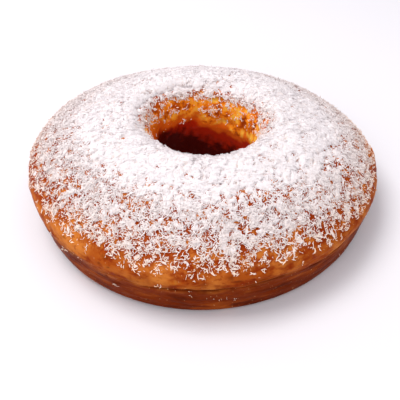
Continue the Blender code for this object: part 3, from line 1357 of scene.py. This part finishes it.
def shred_piece(
    name: str, lie: Lie, outline: Outline, stations: int, tip: float, finish: Material
) -> Piece:
    """Bent, tapering shreds as one mesh.

    The middle line of a shred of length L that turns by b is an arc of a circle: at t
    from -1 to 1 it is (L/b sin(bt/2), L/b (1 - cos(bt/2))). Round it stand the corners
    of an ellipse, narrower towards both ends, and the line curls up or down by a share
    of 1/3 - t^2 that differs from shred to shred.

    Args:
        name: The piece's name.
        lie: Where the shreds lie.
        outline: The cross-section.
        stations: How many cross-sections a shred has.
        tip: Its width at the ends, as a share of the middle.
        finish: The coconut's material.

    Returns:
        The new object.
    """
    sides, least_bend, blunt, curl_share, curl_turns = outline.value, 0.02, 2.2, 0.16, 7.0
    t = np.linspace(-1, 1, stations)[None, :]
    bend = np.where(np.abs(lie.turn) < least_bend, least_bend, lie.turn)[:, None]
    reach = lie.length[:, None] / bend
    x, y = reach * np.sin(bend * t / 2), reach * (1 - np.cos(bend * t / 2))
    y = y - y.mean(axis=1, keepdims=True)
    taper = tip + (1 - tip) * (1 - np.abs(t) ** blunt)
    corner = math.pi / 2 + 2 * math.pi * (np.arange(sides) - 0.5) / sides
    across = lie.width[:, None, None] / 2 * taper[..., None] * np.cos(corner)
    over = lie.thick[:, None, None] / 2 * taper[..., None] * np.sin(corner)
    lean = (bend * t / 2)[..., None]
    local_x = x[..., None] - across * np.sin(lean)
    local_y = y[..., None] + across * np.cos(lean)
    curl = curl_share * np.sin(curl_turns * lie.tone)[:, None] * lie.length[:, None] * (1 / 3 - t**2)
    local_z = over + curl[..., None]
    points = (
        lie.spot[:, None, None]
        + local_x[..., None] * lie.ahead[:, None, None]
        + local_y[..., None] * lie.beside[:, None, None]
        + local_z[..., None] * lie.up[:, None, None]
    )
    per = stations * sides
    ring = np.arange(sides)
    after = (ring + 1) % sides
    first = np.arange(stations - 1)[:, None] * sides
    hull = np.stack([first + ring, first + sides + ring, first + sides + after, first + after], -1)
    ends = np.stack([ring, ring[::-1] + (stations - 1) * sides])
    offset = np.arange(len(lie.spot))[:, None, None] * per
    faces = [(hull.reshape(-1, 4) + offset).reshape(-1, 4), (ends + offset).reshape(-1, sides)]
    marks = {"tone": np.repeat(lie.tone, per), "stain_and_bounce": np.repeat(lie.stain_and_bounce, per)}
    return mesh_piece(name, points.reshape(-1, 3), faces, finish, marks, smooth=False)


@dataclass(frozen=True)
class SolidShreds:
    """The largest shreds, which the solid has too, spread by the golden angle.

    Each is a small bundle of threads that fills the solid's strip. A pair gives a share
    and how far it strays from thread to thread.
    """

    ground: Ground
    count: int = 205
    length: Pair = (5.0 * MM, 8.5 * MM)
    width: Pair = (1.5 * MM, 2.4 * MM)
    thick: Pair = (1.5 * MM, 2.0 * MM)
    turn: float = math.radians(42)
    inner_r: float = 38 * MM
    outer_r: float = 116 * MM
    seed: int = 11
    threads: int = 4
    stations: int = 5
    tip: float = 0.35
    heading_stray: float = 0.35
    lifted: Pair = (0.35, 0.30)
    above_bed: float = 0.5
    spread: Pair = (0.32, 0.12)
    thread_length: Pair = (0.62, 0.25)
    thread_width: float = 0.30
    bent_more: float = 1.6
    bent_stray: float = 0.8
    tone: Pair = (0.5, 0.25)
    stain_and_bounce: Pair = (0.55, 0.25)

    def build(self, finish: Material) -> Piece:
        """Make them where the solid has them.

        The k-th bundle lies at k golden angles, at a radius whose square grows evenly.

        Args:
            finish: The coconut's material.

        Returns:
            The new object.
        """
        draws = np.random.default_rng(self.seed).random((self.count, 5))
        share = (np.arange(self.count) + 0.5) / self.count
        r = np.sqrt(self.inner_r**2 + (self.outer_r**2 - self.inner_r**2) * share)
        turns = np.arange(self.count) * math.pi * (3 - math.sqrt(5))
        skin = self.ground.surface
        around, radius = skin.form.angle_and_radius(r * np.cos(turns), r * np.sin(turns))
        arc = skin.arc_on_top(radius)
        arc, around, draws = (np.repeat(part, self.threads, axis=0) for part in (arc, around, draws))
        loose = np.random.default_rng(self.seed + 1).uniform(-1, 1, (len(arc), 5))
        along, across, out = skin.axes(arc, around)
        heading = (2 * math.pi * draws[:, 3] + self.heading_stray * loose[:, 0])[:, None]
        ahead = along * np.cos(heading) + across * np.sin(heading)
        beside = np.cross(out, ahead)
        spans = enumerate((self.length, self.width, self.thick))
        length, width, thick = (low + (high - low) * draws[:, k] for k, (low, high) in spans)
        spots = self.ground.spots(arc, around)
        rise = (self.lifted[0] + self.lifted[1] * loose[:, 1]) * thick
        rise = self.ground.crust(spots) + rise
        rise += self.above_bed * self.ground.under_coconut * self.ground.sunk(spots)
        sideways, lengthways = self.spread
        spot = spots.points + out * rise[:, None]
        spot += (
            beside * (sideways * width * loose[:, 2])[:, None]
            + ahead * (lengthways * length * loose[:, 3])[:, None]
        )
        lie = Lie(
            spot=spot,
            ahead=ahead,
            beside=beside,
            up=out,
            length=length * (self.thread_length[0] + self.thread_length[1] * loose[:, 4]),
            width=width * self.thread_width,
            thick=thick * self.thread_width,
            turn=self.turn * (2 * draws[:, 4] - 1) * self.bent_more + self.bent_stray * loose[:, 0],
            tone=self.tone[0] + self.tone[1] * loose[:, 4],
            stain_and_bounce=(self.stain_and_bounce[0] + self.stain_and_bounce[1] * loose[:, 0]) * (1.0 - spots.even),
        )
        return shred_piece("coconut_large", lie, Outline.RIBBON, self.stations, self.tip, finish)


@dataclass(frozen=True)
class Coconut:
    """Everything white on the cake."""

    ground: Ground
    kinds: tuple[ShredKind, ...] = (
        ShredKind(
            name="coconut_threads", count=7900, length=(2.6 * MM, 4.8 * MM),
            width=(0.46 * MM, 0.72 * MM), thick=(0.38 * MM, 0.55 * MM),
            stations=4, turn=2.4, tip=0.5, tilt=0.22, stack=0.65 * MM, seed=101,
        ),
        ShredKind(
            name="coconut_curls", count=12200, length=(1.7 * MM, 3.0 * MM),
            width=(0.46 * MM, 0.74 * MM), thick=(0.38 * MM, 0.55 * MM),
            stations=3, turn=2.6, tip=0.6, tilt=0.28, stack=0.75 * MM, seed=102,
        ),
        ShredKind(
            name="coconut_slivers", count=12200, length=(1.4 * MM, 2.6 * MM),
            width=(0.46 * MM, 0.80 * MM), thick=(0.28 * MM, 0.45 * MM),
            stations=3, turn=1.4, tip=0.6, tilt=0.30, stack=0.65 * MM, seed=103,
        ),
        ShredKind(
            name="coconut_wisps", count=11400, length=(1.5 * MM, 2.7 * MM),
            width=(0.42 * MM, 0.68 * MM), thick=(0.34 * MM, 0.50 * MM),
            stations=3, turn=3.0, tip=0.5, tilt=0.30, stack=0.7 * MM, seed=105,
            gathered=1.3 * MM, brood=2,
        ),
        ShredKind(
            name="coconut_crumbs", count=20500, length=(0.45 * MM, 1.1 * MM),
            width=(0.32 * MM, 0.62 * MM), thick=(0.28 * MM, 0.5 * MM),
            stations=2, turn=0.4, tip=0.8, tilt=0.6, stack=0.8 * MM, seed=104,
            gathered=1.2 * MM, brood=2, strays=0.007,
        ),
    )

    def build(self) -> None:
        """Make the mat, the largest shreds and each strewn kind."""
        flesh = CoconutFinish().make()
        CoconutMat(self.ground).build(flesh)
        SolidShreds(self.ground).build(flesh)
        strewing = Strewing(self.ground)
        for kind in self.kinds:
            strewing.strew(kind, flesh)


# The studio


@dataclass(frozen=True)
class Lamp:
    """One soft square lamp, aimed at the cake."""

    name: str
    spot: Triple
    size: float
    power: float
    colour: Colour = (1.0, 1.0, 1.0)
    aim: Triple = (0.0, 0.0, 0.03)

    def hang(self) -> None:
        """Add the lamp to the scene."""
        light = bpy.data.lights.new(self.name, "AREA")
        light.shape = "SQUARE"
        light.size = self.size
        light.energy = self.power
        light.color = self.colour
        lamp = bpy.data.objects.new(self.name, light)
        lamp.location = self.spot
        lamp.rotation_euler = (Vector(self.aim) - Vector(self.spot)).to_track_quat("-Z", "Y").to_euler()
        bpy.context.scene.collection.objects.link(lamp)


@dataclass(frozen=True)
class Studio:
    """Floor, lamps, sky and camera."""

    elevation: float = math.radians(40.2)
    distance: float = 0.432
    target: Triple = (-0.00079, 0.00116, 0.0)
    lens: float = 52.1
    sensor: float = 36.0
    nearest: float = 10 * MM
    shift: Pair = (-0.0035, -0.0275)
    floor_half: float = 4.0
    sky: Colour = (0.985, 0.975, 1.0)
    sky_strength: float = 0.765
    lamps: tuple[Lamp, ...] = field(default_factory=lambda: (
        Lamp("key", (-0.42, 0.02, 1.16), 0.60, 8.9, (1.0, 0.985, 0.97)),
        Lamp("front_fill", (-0.60, -1.13, 0.92), 0.9, 3.9),
    ))

    def build(self) -> None:
        """Set all of it up."""
        self.lay_floor()
        self.open_sky()
        for lamp in self.lamps:
            lamp.hang()
        self.place_camera()
        bpy.context.scene.view_settings.view_transform = "Standard"

    def lay_floor(self) -> None:
        """A flat square just under the cake."""
        half = self.floor_half
        corners = [(-half, -half, 0.0), (half, -half, 0.0), (half, half, 0.0), (-half, half, 0.0)]
        mesh = bpy.data.meshes.new("floor")
        mesh.from_pydata(corners, [], [(0, 1, 2, 3)])
        mesh.materials.append(FloorFinish().make())
        floor = bpy.data.objects.new("floor", mesh)
        bpy.context.scene.collection.objects.link(floor)

    def open_sky(self) -> None:
        """An even pale light from all round."""
        world = bpy.data.worlds.new("sky")
        world.use_nodes = True
        background = world.node_tree.nodes["Background"]
        background.inputs["Color"].default_value = (*self.sky, 1.0)
        background.inputs["Strength"].default_value = self.sky_strength
        bpy.context.scene.world = world

    def place_camera(self) -> None:
        """Look at the middle of the foot from the front, from above."""
        view = bpy.data.cameras.new("camera")
        view.lens = self.lens
        view.sensor_width = self.sensor
        view.shift_x, view.shift_y = self.shift
        view.clip_start = self.nearest
        camera = bpy.data.objects.new("camera", view)
        back = Vector((0.0, -math.cos(self.elevation), math.sin(self.elevation)))
        camera.location = Vector(self.target) + back * self.distance
        camera.rotation_euler = (math.pi / 2 - self.elevation, 0.0, 0.0)
        bpy.context.scene.collection.objects.link(camera)
        bpy.context.scene.camera = camera


def main() -> None:
    """Build the cake, strew it and light it."""
    logging.basicConfig(level=logging.INFO, format="%(name)s %(message)s")
    ground = Ground(CakeSurface(CakeForm()), Cover())
    Crust(ground).build(CrustFinish().make())
    Coconut(ground).build()
    Studio().build()


if __name__ == "__main__":
    main()
